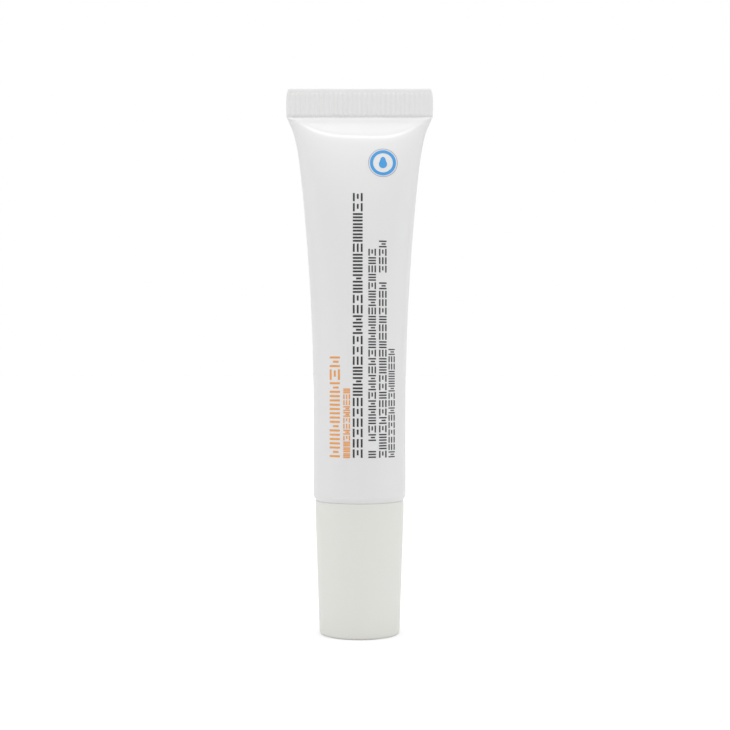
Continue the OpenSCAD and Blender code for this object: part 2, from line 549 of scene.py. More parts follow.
SLEEVE_FINISH = Finish(
    "sleeve_satin_white", (219.5, 219.5, 219.5), (0.38, 0.48), ((PEEL, 0.0014), (DRAW_LINES, 0.0012)),
    low_share=0.985, glow=0.15, glow_reach=(1.0, 0.95, 0.9), pressed=((223, 223, 223), 108.2),
)
CAP_FINISH = Finish(
    "cap_matte_white", (221, 221, 216), (0.46, 0.56), ((PEEL, 0.0030),), low_share=0.985, glow=0.3,
)
HEAD_FINISH = Finish(
    "head_natural_white", (226, 226, 224), (0.34, 0.44), ((PEEL, 0.0016),), low_share=0.98, glow=0.2,
)
OINTMENT_FINISH = Finish(
    "ointment_cream", (238, 230, 205), (0.16, 0.3), ((((500.0, 500.0, 300.0), 3.0), 0.05),),
    low_share=0.94, clouds=even(300.0, 3.0), grain=even(500.0),
    glow=0.3, glow_reach=(1.0, 0.8, 0.5), glow_mm=2.0,
)
BLACK_INK = ink("ink_black", (34, 34, 36))
ORANGE_INK = ink("ink_orange", (226, 150, 66))
BLUE_INK = ink("ink_blue", (58, 150, 214))
GREY_INK = ink("ink_grey", (150, 150, 176))


def ride(piece: bpy.types.Object, body: Body, node: str | None = None) -> None:
    """Fixes a piece to its body and reports it.

    Args:
        piece: The piece.
        body: The body that it moves with.
        slot: The record's material slot that it takes its finish from.
        node: The solid that it stands for.
    """
    if node is not None:
        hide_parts(node)
    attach(piece, body.value)
    LOG.info("%s rides on %s, %d faces", piece.name, body.value, len(piece.data.polygons))


@dataclass(frozen=True)
class SleeveSizes:
    """Sizes of the sleeve's outer form, in millimetres.

    Attributes:
        flat_half: Half the width of the sleeve when it lies flat.
        seam_close: How far the foot reaches into the seam over the cap.
        seal_swell: How much further out the seal's band stands at each side.
        crown_half: Half the thickness that the rounded body runs to at the seal.
        fullness: How much fuller than an ellipse the body is there.
        facet_slope: Depth that the facet under the seal gains per height.
        facet_lean: Share by which the facet is steeper at its left than in its middle.
        toe: Depth that the facet gains at once under the groove, within about toe_h.
        fold_blend: Depth over which facet and body round into each other.
        fold_lip: Height of the dent along the fold, lip_above and lip_below wide.
        groove_half: Half the thickness in the groove, groove_up over the seal's lower edge.
        band_half_t: Half the thickness of the band between its ridges.
    """

    foot_z: float
    top_z: float
    tube_r: float
    flat_half: float
    wall: float = 0.45
    bevel_h: float = 0.8
    bevel_in: float = 0.5
    seam_close: float = 0.17
    round_l: float = 17.9
    seal_h: float = 6.3
    flare_h: float = 0.6
    seal_swell: float = 0.65
    crown_half: float = 1.37
    fullness: float = 1.8
    facet_slope: float = 0.60
    facet_lean: float = 0.03
    toe: float = 0.2
    toe_h: float = 0.3
    fold_blend: float = 0.12
    fold_lip: float = 0.21
    lip_above: float = 0.8
    lip_below: float = 0.12
    groove_half: float = 0.32
    groove_up: float = 0.34
    band_half_t: float = 0.47
    groove_h: float = 1.0
    ridge_pitch: float = 1.0
    ridge_h: float = 0.18

    @staticmethod
    def from_frame() -> SleeveSizes:
        """Takes the sleeve's height and radius from its solid.

        Returns:
            The sizes.
        """
        low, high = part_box("tube_sleeve")
        tube_r = high[1] / MM
        flat_half = math.pi * (2 * tube_r - SleeveSizes.wall) / 4
        return SleeveSizes(foot_z=low[2] / MM, top_z=high[2] / MM, tube_r=tube_r, flat_half=flat_half)


@dataclass(frozen=True)
class Station:
    """One height of a skin that follows the sleeve's form, in millimetres.

    The inset is measured inwards from the outer skin. A station at 0 open share closes the
    skin on the middle plane. The rows lead up to it, and from_fold counts z from the fold.
    """

    z: float
    inset: float = 0.0
    open_share: float = 1.0
    rows: int = 0
    from_fold: bool = False


def heights(s: SleeveSizes | SimpleNamespace) -> SimpleNamespace:
    """Works out the sleeve's main heights, as plain numbers or as fields.

    Args:
        s: The sleeve's sizes, plain or as fields of a tree.

    Returns:
        The heights, from the foot up.
    """
    band = s.top_z - s.seal_h
    return SimpleNamespace(
        bevel=s.foot_z + s.bevel_h,
        round=s.foot_z + s.round_l,
        flare=band - s.flare_h,
        band=band,
        groove=band + s.groove_up,
        lip=band + s.groove_h,
    )


class SleeveForm:
    """The rule that the sleeve's skin follows, inside one tree.

    The curves give how the round foot turns into the flat seal: an early power, a late one
    and the early one's share. The band is widest at a share of its height.
    """

    WIDENING = (1.96, 20.0, 0.755)
    THINNING = (1.6, 7.0, 0.5)
    BODY_SWELL = 0.25
    BAND_WIDEST = 0.42
    BAND_DRAWN_IN = 0.65

    def __init__(self, sizes: SimpleNamespace) -> None:
        """Keeps the sleeve's sizes, as fields of the tree, with its heights."""
        self.s = sizes
        self.at = heights(sizes)

    def flatness(self, z: Field) -> Field:
        """0 where the sleeve is round, 1 just under the seal."""
        return z.share(self.at.round, self.at.flare)

    def eased(self, z: Field, early: float, late: float, early_share: float) -> Field:
        """Eases the flatness, with one power early and another late."""
        u = self.flatness(z)
        return u ** early * early_share + u ** late * (1.0 - early_share)

    def foot_inset(self, z: Field) -> Field:
        """How far the bevel at the foot goes inwards."""
        return (1.0 - z.share(self.s.foot_z, self.at.bevel)) * self.s.bevel_in

    def half_width(self, z: Field) -> Field:
        """Half the sleeve's width at a height.

        Args:
            z: The height.

        Returns:
            Half the width, in millimetres.
        """
        s, at = self.s, self.at
        swell = s.seal_swell * self.BODY_SWELL
        body = s.tube_r + (s.flat_half + swell - s.tube_r) * self.eased(z, *self.WIDENING)
        flare = z.share(at.flare, at.band) * swell
        t = (z.share(at.band, s.top_z) - self.BAND_WIDEST).size() / (1.0 - self.BAND_WIDEST)
        band = s.flat_half + s.seal_swell * (1.0 - t ** 3.0 * self.BAND_DRAWN_IN)
        return blend(body + flare - self.foot_inset(z), band, z.step(at.band - 0.2, at.band + 0.3))

    def half_depth(self, z: Field) -> Field:
        """Half the thickness in the middle of the rounded form at a height."""
        s = self.s
        return s.tube_r - (s.tube_r - s.crown_half) * self.eased(z, *self.THINNING) - self.foot_inset(z)

    def bulge(self, across: Field, z: Field) -> Field:
        """Share of the middle's thickness at a place across, fuller near the seal.

        Args:
            across: Place across the sleeve, from -1 to 1 of its half width.
            z: The height.

        Returns:
            The share, 1 in the middle and 0 at the sides.
        """
        u = self.flatness(z)
        fullness = u * u * self.s.fullness + 2.0
        return (1.0 - across.size() ** fullness).at_least(0.0) ** (1.0 / fullness)

    def slope(self, across: Field) -> Field:
        """Slope of the facet under the seal at a place across, a little steeper on its left."""
        return (1.0 - across * self.s.facet_lean) * self.s.facet_slope

    def fold_z(self, across: Field) -> Field:
        """Height of the fold below the seal, where facet and pillow meet.

        Args:
            across: Place across the sleeve, from -1 to 1 of its half width.

        Returns:
            The height, in millimetres.
        """
        s = self.s
        z = self.at.band - 4.0
        for _ in range(6):
            thick = self.half_depth(z) * self.bulge(across, z)
            z = self.at.groove - (thick - s.groove_half - s.toe) / self.slope(across)
        return z.at_least(self.at.band - 7.0).at_most(self.at.band - 0.8)

    def pillow(self, x: Field, z: Field, half_width: Field, inset: Number) -> Field:
        """Depth of the rounded form at a point, before the seal presses it flat."""
        return (self.half_depth(z) - inset) * self.bulge(x / half_width, z)

    def press(self, x: Field, z: Field) -> Field:
        """Depth that the pressed seal and its facet leave at a point.

        Args:
            x: Place across the sleeve.
            z: Height.

        Returns:
            The depth from the middle plane, in millimetres.
        """
        s = self.s
        lip_z = self.at.lip
        below = (self.at.groove - z).at_least(0.0)
        facet = self.slope(x / s.flat_half) * below + (1.0 - (-below / s.toe_h).exponential()) * s.toe
        rise = (s.band_half_t - s.groove_half) * z.step(self.at.groove, lip_z)
        wave = ((x / s.ridge_pitch) * TURN).cosine() * 0.5 + 0.5
        worn = (x * 0.9 + 2.0).sine() * (x * 0.37).sine() * 0.25 + 0.75
        inside = z.step(lip_z - 0.55, lip_z - 0.3) * (1.0 - z.step(s.top_z - 1.3, s.top_z - 0.7))
        ends = 1.0 - x.size().step(s.flat_half - 1.5, s.flat_half + 0.2) * 0.7
        bitten = (z - lip_z + 0.2).bell(0.4) * 0.5 + 1.0
        return s.groove_half + facet + rise + wave * inside * worn * ends * bitten * s.ridge_h

    def depth(self, x: Field, z: Field, half_width: Field, inset: Number = 0.0) -> Field:
        """Depth of the skin at a point, from the middle plane.

        Args:
            x: Place across the sleeve.
            z: Height.
            half_width: Half the skin's width there.
            inset: How far inside the outer skin.

        Returns:
            The depth, in millimetres.
        """
        s = self.s
        round_part = self.pillow(x, z, half_width, inset)
        flat_part = self.press(x, z) - inset * 1.27
        apart = flat_part - round_part
        near = (s.fold_blend - apart.size()).at_least(0.0) / s.fold_blend
        fold = near * near * s.fold_blend * 0.25
        above_fold = 1.0 - apart.above(0.0)
        lip = apart.bell(blend(s.lip_below, s.lip_above, above_fold)) * s.fold_lip
        inner = 1.0 - (x / half_width).size().step(0.62, 0.98)
        lip = lip * (self.at.groove - z).share(0.0, 1.5) * inner
        edge = round_part.share(0.0, 1.0)
        return (round_part.at_most(flat_part) - (fold + lip) * edge).at_least(0.0)

    def skin(self, tree: ShapeTree, stations: Sequence[Station], around: int) -> Socket:
        """Shapes a closed skin through a list of stations.

        Args:
            tree: The tree.
            stations: The stations, each with the rows that lead up to it.
            around: Faces around the skin.

        Returns:
            The skin.
        """
        rows = sum(station.rows for station in stations)
        shape, along, up = tree.grid(around, rows)
        flat_x = (along * 4.0 - 2.0).size() - 1.0
        fold = self.fold_z(flat_x)
        heights = [fold + station.z if station.from_fold else station.z for station in stations]
        height = along * 0.0 + heights[0]
        inset = along * 0.0 + stations[0].inset
        open_share = along * 0.0 + stations[0].open_share
        passed = 0
        for i, (before, station) in enumerate(zip(stations, stations[1:])):
            part = up.share(passed / rows, (passed + station.rows) / rows)
            height = height + part * (heights[i + 1] - heights[i])
            inset = inset + part * (station.inset - before.inset)
            open_share = open_share + part * (station.open_share - before.open_share)
            passed += station.rows
        half_width = self.half_width(height) - inset
        round_x = (along * TURN).cosine()
        flat_share = height.step(self.at.round + 30.0, self.at.band - 7.0)
        x = half_width * blend(round_x, flat_x, flat_share)
        side = 1.0 - along.above(0.5) * 2.0
        y = self.depth(x, height, half_width, inset) * side * open_share
        return tree.welded(tree.placed(shape, x, y, height))

    def front(self, tree: ShapeTree, shape: Socket, x: Field, lift: Field, z: Field) -> Socket:
        """Lays a flat shape onto the sleeve's front.

        Args:
            tree: The tree.
            shape: The shape.
            x: Each point's place across the sleeve.
            lift: How far it stands off the skin.
            z: Its height.

        Returns:
            The shape on the skin, in metres.
        """
        depth = self.depth(x, z, self.half_width(z))
        return tree.flipped(tree.placed(shape, x, -(depth + lift), z))


@dataclass
class Sleeve:
    """The extruded sleeve, pressed flat and crimped at its top."""

    sizes: SleeveSizes
    around: int = 560

    def build(self) -> bpy.types.Object:
        """Shapes the sleeve as one closed skin: inside, foot, outside and cut edge.

        Returns:
            The piece.
        """
        tree = ShapeTree("pressed sleeve")
        form = SleeveForm(tree.sizes(self.sizes))
        s = self.sizes
        at = heights(s)
        cavity_z = at.band - 1.2
        seam_z = s.foot_z - s.seam_close
        stations = [
            Station(cavity_z, s.wall, 0.0),
            Station(cavity_z, s.wall, rows=1),
            Station(at.round, s.wall, rows=12),
            Station(at.bevel, s.wall, rows=3),
            Station(seam_z, s.wall, rows=2),
            Station(seam_z, 0.04, rows=2),
            Station(seam_z + 0.08, rows=1),
            Station(at.bevel - 0.3, rows=6),
            Station(at.bevel + 0.3, rows=4),
            Station(at.round, rows=8),
            Station(at.band - 13.0, rows=30),
            Station(-0.8, rows=16, from_fold=True),
            Station(-0.3, rows=6, from_fold=True),
            Station(0.3, rows=14, from_fold=True),
            Station(0.7, rows=4, from_fold=True),
            Station(at.groove - 0.3, rows=8),
            Station(at.groove - 0.05, rows=3),
            Station(at.groove + 0.05, rows=2),
            Station(at.lip, rows=7),
            Station(s.top_z - 1.4, rows=8),
            Station(s.top_z - 0.6, rows=5),
            Station(s.top_z - 0.12, rows=1),
            Station(s.top_z - 0.03, 0.04, rows=1),
            Station(s.top_z, 0.14, rows=1),
            Station(s.top_z, 0.14, 0.0, rows=1),
        ]
        shape = form.skin(tree, stations, self.around)
        return tree.finish("sleeve_skin", shape, SLEEVE_FINISH.make())


@dataclass(frozen=True)
class PrintColumn:
    """One column of printed blocks that reads upwards, in millimetres."""

    x: float
    width: float
    low_z: float
    high_z: float
    pitch: float
    gap_share: float
    seed: int


@dataclass
class Print:
    """The print on the sleeve's front: plain blocks in columns, and a round mark."""

    sizes: SleeveSizes
    film: float = 0.025
    sink: float = 0.03

    def block(self, tree: ShapeTree, width: float, height: float, x: float, z: float) -> Socket:
        """Adds one flat block of ink.

        Args:
            tree: The tree.
            width: Size along X.
            height: Size along Z.
            x: Its middle along X.
            z: Its middle along Z.

        Returns:
            The block.
        """
        thick = self.film + self.sink
        cube = tree.node(
            "GeometryNodeMeshCube",
            {"Size": (width, thick, height), "Vertices X": 6, "Vertices Y": 2, "Vertices Z": 4},
        )
        moved = tree.node(
            "GeometryNodeTransform",
            {"Geometry": cube.outputs["Mesh"], "Translation": (x, (self.film - self.sink) / 2, z)},
        )
        return moved.outputs[0]

    def cells(self, tree: ShapeTree, width: float, pitch: float) -> Socket:
        """Adds the few kinds of block that a column picks from.

        Args:
            tree: The tree.
            width: The column's width.
            pitch: The step from block to block.

        Returns:
            The kinds, as instances.
        """
        tall = 0.82 * pitch
        bar = 0.19 * width
        aside = (width - bar) / 2
        apart = (tall - bar) / 2
        kinds = [
            [(bar, tall, -aside, 0.0), (bar, tall, 0.0, 0.0), (bar, tall, aside, 0.0)],
            [(width, bar, 0.0, -apart), (width, bar, 0.0, 0.0), (width, bar, 0.0, apart)],
            [(width, bar, 0.0, -apart), (0.55 * width, bar, 0.1 * width, 0.0), (width, bar, 0.0, apart)],
            [(bar, tall, -aside, 0.0), (bar, 0.6 * tall, 0.0, 0.1 * tall), (bar, tall, aside, 0.0)],
        ]
        join = tree.node("GeometryNodeJoinGeometry")
        for kind in reversed(kinds):
            parts = tree.node("GeometryNodeJoinGeometry")
            for width_, height_, x_, z_ in kind:
                tree.group.links.new(self.block(tree, width_, height_, x_, z_), parts.inputs[0])
            single = tree.node("GeometryNodeGeometryToInstance")
            tree.group.links.new(parts.outputs[0], single.inputs[0])
            tree.group.links.new(single.outputs[0], join.inputs[0])
        return join.outputs[0]

    def column(self, tree: ShapeTree, column: PrintColumn) -> Socket:
        """Adds one column of blocks, still flat.

        Args:
            tree: The tree.
            column: The column.

        Returns:
            The blocks.
        """
        count = int((column.high_z - column.low_z) / column.pitch)
        line = tree.node(
            "GeometryNodeMeshLine",
            {
                "Count": count,
                "Start Location": (column.x, 0.0, column.low_z + column.pitch / 2),
                "Offset": (0.0, 0.0, column.pitch),
            },
            mode="OFFSET",
        )
        # A random value's sockets are told apart by number: 1 and 2 give the plain and the
        # whole number, 4 and 5 take the least and the greatest whole number.
        chance = tree.node("FunctionNodeRandomValue", {"Seed": column.seed}, data_type="FLOAT")
        shown = Field(tree.group, chance.outputs[1]).above(column.gap_share)
        kinds = {4: 0, 5: 3, "Seed": column.seed + 1}
        pick = tree.node("FunctionNodeRandomValue", kinds, data_type="INT")
        placed = tree.node(
            "GeometryNodeInstanceOnPoints",
            {
                "Points": line.outputs["Mesh"],
                "Selection": shown,
                "Instance": self.cells(tree, column.width, column.pitch),
                "Pick Instance": True,
                "Instance Index": pick.outputs[2],
            },
        )
        return tree.node("GeometryNodeRealizeInstances", {"Geometry": placed.outputs[0]}).outputs[0]

    def columns(self, name: str, columns: Sequence[PrintColumn], finish: Finish) -> bpy.types.Object:
        """Prints columns in one ink.

        Args:
            name: The piece's name.
            columns: The columns.
            finish: The ink.

        Returns:
            The piece.
        """
        tree = ShapeTree(name.replace("_", " "))
        form = SleeveForm(tree.sizes(self.sizes))
        join = tree.node("GeometryNodeJoinGeometry")
        for column in columns:
            tree.group.links.new(self.column(tree, column), join.inputs[0])
        shape = form.front(tree, join.outputs[0], *tree.position())
        return tree.finish(name, shape, finish.make())

    def mark(
        self,
        name: str,
        centre: tuple[float, float],
        radii: tuple[float, float],
        point: float,
        finish: Finish,
    ) -> bpy.types.Object:
        """Prints a ring, or a drop where the inner radius is 0.

        Args:
            name: The piece's name.
            centre: Its middle in X and Z.
            radii: Inner and outer radius.
            point: How far a drop's tip stands out, as a share of its radius.
            finish: The ink.

        Returns:
            The piece.
        """
        tree = ShapeTree(name.replace("_", " "))
        form = SleeveForm(tree.sizes(self.sizes))
        inner = tree.number("Inner radius", radii[0])
        outer = tree.number("Outer radius", radii[1])
        tip = tree.number("Tip", point)
        rows, turn_row = 20, 10
        shape, along, up = tree.grid(96, rows)
        angle = along * TURN
        rise = up.share(0.0, 1 / rows)
        out = up.share(1 / rows, turn_row / rows)
        fall = up.share(turn_row / rows, (turn_row + 1) / rows)
        back = up.share((turn_row + 1) / rows, 1.0)
        lift = (rise - fall) * (self.film + self.sink) - self.sink
        reach = outer * (1.0 + tip * angle.sine().at_least(0.0) ** 7.0)
        radius = blend(inner, reach, out - back)
        x = radius * angle.cosine() + centre[0]
        z = radius * angle.sine() + centre[1]
        return tree.finish(name, tree.welded(form.front(tree, shape, x, lift, z)), finish.make())

    def build(self) -> list[bpy.types.Object]:
        """Prints everything.

        Returns:
            The pieces.
        """
        low = 37.2
        orange = [
            PrintColumn(-5.05, 2.1, low, 58.4, 2.63, 0.0, 11),
            PrintColumn(-2.60, 1.4, low, 51.8, 1.20, 0.10, 23),
        ]
        black = [
            PrintColumn(-0.35, 2.0, low, 93.4, 2.10, 0.06, 31),
            PrintColumn(2.60, 1.55, low, 80.2, 1.72, 0.06, 43),
            PrintColumn(4.78, 1.55, low, 82.8, 1.72, 0.06, 59),
            PrintColumn(6.60, 1.30, low, 59.8, 1.50, 0.06, 67),
        ]
        middle = (4.85, 98.05)
        return [
            self.columns("print_orange_blocks", orange, ORANGE_INK),
            self.columns("print_black_blocks", black, BLACK_INK),
            self.mark("print_grey_ring", middle, (2.92, 3.03), 0.0, GREY_INK),
            self.mark("print_blue_ring", middle, (2.05, 2.70), 0.0, BLUE_INK),
            self.mark("print_blue_drop", (middle[0], middle[1] - 0.3), (0.0, 0.85), 0.85, BLUE_INK),
        ]


def turned_piece(
    name: str,
    profile: Sequence[tuple[float, float]],
    material: bpy.types.Material,
    around: int = 256,
) -> bpy.types.Object:
    """Turns a closed outline about Z.

    Args:
        name: The piece's name.
        profile: Points of radius and height in millimetres, against the clock.
        material: The piece's finish.
        around: Faces on a full turn.

    Returns:
        The piece.
    """
    points: list[Triple] = []
    rings: list[list[int]] = []
    for radius, z in profile:
        if radius < ON_AXIS_MM:
            rings.append([len(points)] * around)
            points.append((0.0, 0.0, z * MM))
            continue
        rings.append(list(range(len(points), len(points) + around)))
        for i in range(around):
            angle = TURN * i / around
            points.append((radius * MM * math.cos(angle), radius * MM * math.sin(angle), z * MM))
    faces: list[list[int]] = []
    closed = profile[0][0] >= ON_AXIS_MM
    pairs = zip(rings, rings[1:] + rings[:1]) if closed else zip(rings, rings[1:])
    for low, high in pairs:
        for i in range(around):
            j = (i + 1) % around
            corners = [low[i], low[j], high[j], high[i]]
            faces.append(list(dict.fromkeys(corners)))
    mesh = bpy.data.meshes.new(name)
    mesh.from_pydata(points, [], faces)
    mesh.materials.append(material)
    mesh.shade_smooth()
    mesh.set_sharp_from_angle(angle=math.radians(CREASE_DEG))
    return added(name, mesh)


def rounded(
    corners: Sequence[Triple],
    steps: int = 6,
    longest: float = 1.5,
) -> list[tuple[float, float]]:
    """Rounds the corners of a closed outline and divides its long sides.

    Args:
        corners: Each corner's radius, height and rounding, in millimetres.
        steps: Points on each rounding.
        longest: The longest side that is left undivided.

    Returns:
        The outline's points.
    """
    bent: list[tuple[float, float]] = []
    count = len(corners)
    for i, (r, z, rounding) in enumerate(corners):
        here = Vector((r, z))
        before = Vector(corners[i - 1][:2]) - here
        after = Vector(corners[(i + 1) % count][:2]) - here
        if rounding <= 0 or r < ON_AXIS_MM:
            bent.append((r, z))
            continue
        reach = min(rounding, 0.45 * before.length, 0.45 * after.length)
        start = here + before.normalized() * reach
        end = here + after.normalized() * reach
        for k in range(steps + 1):
            t = k / steps
            point = start * (1 - t) ** 2 + here * 2 * t * (1 - t) + end * t ** 2
            bent.append((point.x, point.y))
    divided: list[tuple[float, float]] = []
    for i, first in enumerate(bent):
        divided.append(first)
        second = bent[(i + 1) % len(bent)]
        if first[0] < ON_AXIS_MM and second[0] < ON_AXIS_MM:
            continue
        parts = int(math.dist(first, second) / longest)
        for k in range(1, parts):
            t = k / parts
            divided.append(tuple(a + (b - a) * t for a, b in zip(first, second)))
    return divided


@dataclass(frozen=True)
class ThreadSizes:
    """Sizes of a screw thread's ridge, in millimetres."""

    low_z: float
    radius: float
    turns: float
    pitch: float = 2.0
    base: float = 1.05
    crest: float = 0.45
    height: float = 0.38


def thread(
    name: str,
    sizes: ThreadSizes,
    outward: bool,
    material: bpy.types.Material,
) -> bpy.types.Object:
    """Winds a right-handed ridge that runs out at both ends.

    Args:
        name: The piece's name.
        sizes: The ridge's sizes.
        outward: True on a neck, False in a bore.
        material: The piece's finish.

    Returns:
        The piece.
    """
    tree = ShapeTree(name.replace("_", " "))
    s = tree.sizes(sizes)
    rows = 8
    sink, run_out, thinnest = 0.06, 0.25, 0.02
    shape, along, up = tree.grid(round(96 * sizes.turns), rows)
    turned = along * s.turns
    angle = turned * TURN
    taper = turned.step(0.0, run_out) * (s.turns - turned).step(0.0, run_out)
    rise = up.share(0.0, 3 / rows)
    cross = up.share(3 / rows, 4 / rows)
    fall = up.share(4 / rows, 7 / rows)
    close = up.share(7 / rows, 1.0)
    height = (rise - fall) * (s.height + sink) * taper.at_least(thinnest) - sink
    flank = (s.base - s.crest) * 0.5
    level = rise * flank + cross * s.crest + fall * flank - close * s.base
    direction = 1.0 if outward else -1.0
    radius = s.radius + height * direction
    z = s.low_z + along * s.turns * s.pitch + (level - s.base * 0.5) * (taper * 0.6 + 0.4)
    shape = tree.placed(shape, radius * angle.cosine(), radius * angle.sine(), z)
    piece = tree.finish(name, tree.welded(shape if outward else tree.flipped(shape)), material)
    close_ends(piece)
    return piece


def close_ends(piece: bpy.types.Object) -> None:
    """Fills the open ends of a piece, so that its mesh is closed.

    Args:
        piece: The piece.
    """
    mesh = bmesh.new()
    mesh.from_mesh(piece.data)
    bmesh.ops.holes_fill(mesh, edges=[edge for edge in mesh.edges if edge.is_boundary], sides=0)
    bmesh.ops.recalc_face_normals(mesh, faces=mesh.faces)
    mesh.to_mesh(piece.data)
    mesh.free()


@dataclass(frozen=True)
class HeadSizes:
    """Sizes of the moulded head, in millimetres."""

    foot_z: float
    tip_z: float
    rim_top_z: float
    rim_r: float
    bevel_h: float = 1.5
    bevel_in: float = 0.5
    rim_t: float = 0.7
    shoulder_t: float = 1.1
    shoulder_fall: float = 1.6
    neck_r: float = 5.1
    slope_r: float = 7.98
    neck_wall: float = 1.1
    neck_l: float = 8.5
    nozzle_r: float = 3.4
    thread_rise: float = 1.4
    nozzle_wall: float = 0.9
    tip_r: float = 1.8
    outlet_r: float = 1.0
    outlet_l: float = 2.0

    @staticmethod
    def from_frame(foot_z: float) -> HeadSizes:
        """Takes the head's ends and radius from its solid, over a sleeve's foot at foot_z."""
        low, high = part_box("tube_head")
        return HeadSizes(foot_z=foot_z, tip_z=low[2] / MM, rim_top_z=high[2] / MM, rim_r=high[1] / MM)


@dataclass
class Head:
    """The moulded head: shoulder, threaded neck and nozzle."""

    sizes: HeadSizes

    def build(self) -> list[bpy.types.Object]:
        """Turns the head and winds its thread.

        Returns:
            The pieces.
        """
        s = self.sizes
        neck_top = s.foot_z - s.shoulder_fall
        neck_end = neck_top - s.neck_l
        bore = s.neck_r - s.neck_wall
        outline = rounded([
            (s.outlet_r, s.tip_z, 0.15),
            (s.tip_r, s.tip_z, 0.3),
            (s.nozzle_r, neck_end, 0.5),
            (s.neck_r - 0.5, neck_end, 0.15),
            (s.neck_r, neck_end + 0.5, 0.15),
            (s.neck_r, neck_top, 0.3),
            (s.slope_r, s.foot_z, 0.2),
            (s.rim_r - s.bevel_in, s.foot_z, 0.1),
            (s.rim_r, s.foot_z + s.bevel_h, 0.1),
            (s.rim_r, s.rim_top_z, 0.0),
            (s.rim_r - s.rim_t, s.rim_top_z, 0.0),
            (s.rim_r - s.rim_t, s.foot_z + s.shoulder_t, 0.3),
            (bore, neck_top + s.shoulder_t, 0.3),
            (bore, neck_end + s.neck_wall, 0.3),
            (s.nozzle_r - s.nozzle_wall, neck_end, 0.3),
            (s.outlet_r, s.tip_z + s.outlet_l, 0.3),
        ])
        material = HEAD_FINISH.make()
        head = turned_piece("head_turned", outline, material, 192)
        ridge = ThreadSizes(low_z=neck_end + s.thread_rise, radius=s.neck_r, turns=2.75)
        return [head, thread("neck_thread", ridge, True, material)]


@dataclass
class Filling:
    """The ointment, which follows the inside of the sleeve and of the neck."""

    sleeve: SleeveSizes
    head: HeadSizes
    play: float = 0.1
    around: int = 240

    def build(self) -> bpy.types.Object:
        """Shapes the filling as one closed skin.

        Returns:
            The piece.
        """
        tree = ShapeTree("filling")
        form = SleeveForm(tree.sizes(self.sleeve))
        s, h = self.sleeve, self.head
        low, high = (corner[2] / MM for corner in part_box("ointment"))
        top = min(high - 4 * self.play, s.top_z - s.seal_h - 0.6)
        in_neck = s.tube_r - s.bevel_in - (h.neck_r - h.neck_wall - self.play)
        in_rim = s.tube_r - (h.rim_r - h.rim_t - self.play)
        in_sleeve = s.wall + self.play
        stations = [
            Station(low, s.tube_r - s.bevel_in),
            Station(low, in_neck, rows=8),
            Station(s.foot_z - h.shoulder_fall + h.shoulder_t + self.play, in_neck, rows=6),
            Station(s.foot_z + h.shoulder_t + 2 * self.play, in_rim, rows=6),
            Station(h.rim_top_z + self.play, in_rim, rows=2),
            Station(h.rim_top_z + 2 * self.play, in_sleeve, rows=1),
            Station(s.foot_z + s.round_l, in_sleeve, rows=4),
            Station(s.top_z - s.seal_h - 13.0, in_sleeve, rows=24),
            Station(-0.5, in_sleeve, rows=10, from_fold=True),
            Station(top, in_sleeve, rows=14),
            Station(top, in_sleeve, 0.0, rows=4),
        ]
        shape = form.skin(tree, stations, self.around)
        return tree.finish("ointment_filling", shape, OINTMENT_FINISH.make())


@dataclass(frozen=True)
class CapSizes:
    """Sizes of the screw cap, in millimetres.

    Attributes:
        proud: How far the cap stands out over its solid's radius.
        straight_l: Length under the mouth over which it doesn't taper.
        seam_close: How far the mouth reaches into the seam under the sleeve.
        collar_drop: How far the collar ends under the mouth.
        thread_drop: How far the thread starts under the collar's top.
    """

    height: float
    mouth_r: float
    proud: float = 0.06
    straight_l: float = 2.2
    taper: float = 0.87
    wall: float = 1.0
    end_t: float = 1.2
    end_round: float = 0.7
    mouth_round: float = 0.12
    seam_close: float = 0.01
    collar_bore_r: float = 5.6
    collar_wall: float = 1.0
    collar_drop: float = 1.8
    thread_drop: float = 5.7
    pin_r: float = 0.8
    pin_top_z: float = 4.5

    @staticmethod
    def from_frame() -> CapSizes:
        """Takes the cap's height and radius from its solid."""
        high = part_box("screw_cap")[1]
        return CapSizes(height=high[2] / MM, mouth_r=high[1] / MM + CapSizes.proud)


@dataclass
class Cap:
    """The moulded screw cap, with its threaded collar and sealing pin."""

    sizes: CapSizes

    def build(self) -> list[bpy.types.Object]:
        """Turns the cap and winds its thread.

        Returns:
            The pieces.
        """
        s = self.sizes
        end_r = s.mouth_r - s.taper
        collar_r = s.collar_bore_r + s.collar_wall
        collar_top = s.height - s.collar_drop
        mouth_z = s.height + s.seam_close
        outline = rounded([
            (0.0, 0.0, 0.0),
            (end_r, 0.0, s.end_round),
            (s.mouth_r, mouth_z - s.straight_l, 0.0),
            (s.mouth_r, mouth_z, s.mouth_round),
            (s.mouth_r - s.wall, mouth_z, 0.2),
            (end_r - s.wall, s.end_t, 0.4),
            (collar_r, s.end_t, 0.3),
            (collar_r, collar_top, 0.2),
            (s.collar_bore_r, collar_top, 0.3),
            (s.collar_bore_r, s.end_t, 0.3),
            (s.pin_r, s.end_t, 0.3),
            (s.pin_r, s.pin_top_z - 0.5, 0.2),
            (s.pin_r / 3, s.pin_top_z, 0.1),
            (0.0, s.pin_top_z, 0.0),
        ])
        material = CAP_FINISH.make()
        cap = turned_piece("cap_turned", outline, material)
        ridge = ThreadSizes(low_z=collar_top - s.thread_drop, radius=s.collar_bore_r, turns=2.5)
        return [cap, thread("cap_thread", ridge, False, material)]


